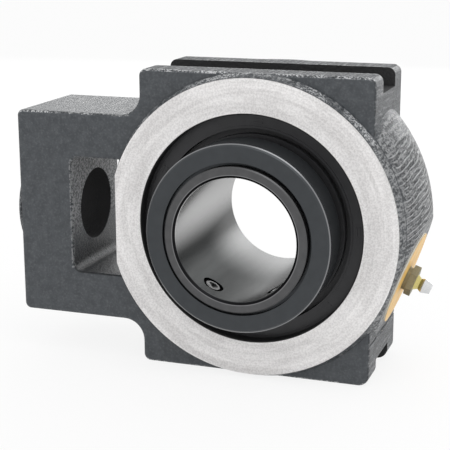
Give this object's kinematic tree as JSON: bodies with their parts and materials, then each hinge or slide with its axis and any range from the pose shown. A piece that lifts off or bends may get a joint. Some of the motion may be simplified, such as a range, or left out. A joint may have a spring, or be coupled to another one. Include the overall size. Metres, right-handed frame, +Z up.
{
  "type": "take-up bearing unit",
  "caption": "Take-up bearing unit: slotted cast housing with a screw lug and nut window around a sealed self-aligning roller bearing with a set screw locking collar.",
  "frame": {"origin": "the bearing's centre, on the shaft axis", "axes": "+Y along the shaft away from the collar, +Z up, -X towards the take-up lug"},
  "size_m": [0.1744, 0.0749, 0.1238],
  "materials": {
    "housing_paint": "cast iron under dark slate grey paint, sandy surface, the ring-shaped front and rear faces machined bright",
    "bearing_steel": "hardened and ground bearing steel",
    "black_steel": "black oxide outside, ground grey bore, bright chamfers",
    "collar_steel": "satin black oxide with a bright front chamfer",
    "cage_steel": "pressed steel",
    "spring_steel": "oiled spring steel",
    "seal_steel": "dark coated steel, satin",
    "seal_rubber": "black nitrile rubber",
    "screw_steel": "black alloy steel",
    "zinc_fitting": "yellow zinc plate, silvery at the nose",
    "yellow_tag": "yellow coated sheet, plain"
  },
  "bodies": {
    "housing": {"housing": "housing_paint", "outer_ring": "bearing_steel", "retaining_ring_front": "spring_steel", "retaining_ring_rear": "spring_steel", "seal_case_front": "seal_steel", "seal_case_rear": "seal_steel", "seal_lip_front": "seal_rubber", "seal_lip_rear": "seal_rubber", "grease_fitting": "zinc_fitting", "fitting_spring": "spring_steel", "grease_tag": "yellow_tag"},
    "guide": {"guide_ring": "bearing_steel"},
    "rotor": {"inner_ring": "black_steel", "locking_collar": "collar_steel", "slinger_front": "seal_steel", "slinger_rear": "seal_steel"},
    "front_row": {"cage_front": "cage_steel", "roller_front_01": "bearing_steel", "roller_front_02": "bearing_steel", "roller_front_03": "bearing_steel", "roller_front_04": "bearing_steel", "roller_front_05": "bearing_steel", "roller_front_06": "bearing_steel", "roller_front_07": "bearing_steel", "roller_front_08": "bearing_steel", "roller_front_09": "bearing_steel", "roller_front_10": "bearing_steel", "roller_front_11": "bearing_steel", "roller_front_12": "bearing_steel", "roller_front_13": "bearing_steel", "roller_front_14": "bearing_steel", "roller_front_15": "bearing_steel", "roller_front_16": "bearing_steel"},
    "rear_row": {"cage_rear": "cage_steel", "roller_rear_01": "bearing_steel", "roller_rear_02": "bearing_steel", "roller_rear_03": "bearing_steel", "roller_rear_04": "bearing_steel", "roller_rear_05": "bearing_steel", "roller_rear_06": "bearing_steel", "roller_rear_07": "bearing_steel", "roller_rear_08": "bearing_steel", "roller_rear_09": "bearing_steel", "roller_rear_10": "bearing_steel", "roller_rear_11": "bearing_steel", "roller_rear_12": "bearing_steel", "roller_rear_13": "bearing_steel", "roller_rear_14": "bearing_steel", "roller_rear_15": "bearing_steel", "roller_rear_16": "bearing_steel"},
    "set_screw_1": {"set_screw_1": "screw_steel"},
    "set_screw_2": {"set_screw_2": "screw_steel"},
    "ball": {"check_ball": "bearing_steel"}
  },
  "joints": [
    {"name": "swivel", "type": "hinge", "parent": "housing", "child": "guide", "pos_m": [0, 0, 0], "axis": [0, 0, 1], "range_deg": [-0.5, 0.5]},
    {"name": "shaft_spin", "type": "hinge", "parent": "guide", "child": "rotor", "pos_m": [0, 0, 0], "axis": [0, 1, 0], "continuous": true},
    {"name": "front_row_spin", "type": "hinge", "parent": "guide", "child": "front_row", "pos_m": [0, 0, 0], "axis": [0, 1, 0], "continuous": true},
    {"name": "rear_row_spin", "type": "hinge", "parent": "guide", "child": "rear_row", "pos_m": [0, 0, 0], "axis": [0, 1, 0], "continuous": true},
    {"name": "ball_lift", "type": "slide", "parent": "housing", "child": "ball", "axis": [-0.9354, 0, 0.3535], "range_m": [0, 0.0007], "stiffness_N_per_m": 500, "springref_m": -0.0007, "deforming": ["fitting_spring"]},
    {"name": "set_screw_1_travel", "type": "slide", "parent": "rotor", "child": "set_screw_1", "axis": [0.4924, 0, 0.8704], "range_m": [-0.0013, 0.003]},
    {"name": "set_screw_2_travel", "type": "slide", "parent": "rotor", "child": "set_screw_2", "axis": [-0.5807, 0, 0.8141], "range_m": [-0.0013, 0.003]}
  ],
  "couplings": [
    {"joint": "front_row_spin", "follows": "shaft_spin", "ratio": 0.4177},
    {"joint": "rear_row_spin", "follows": "shaft_spin", "ratio": 0.4177}
  ]
}
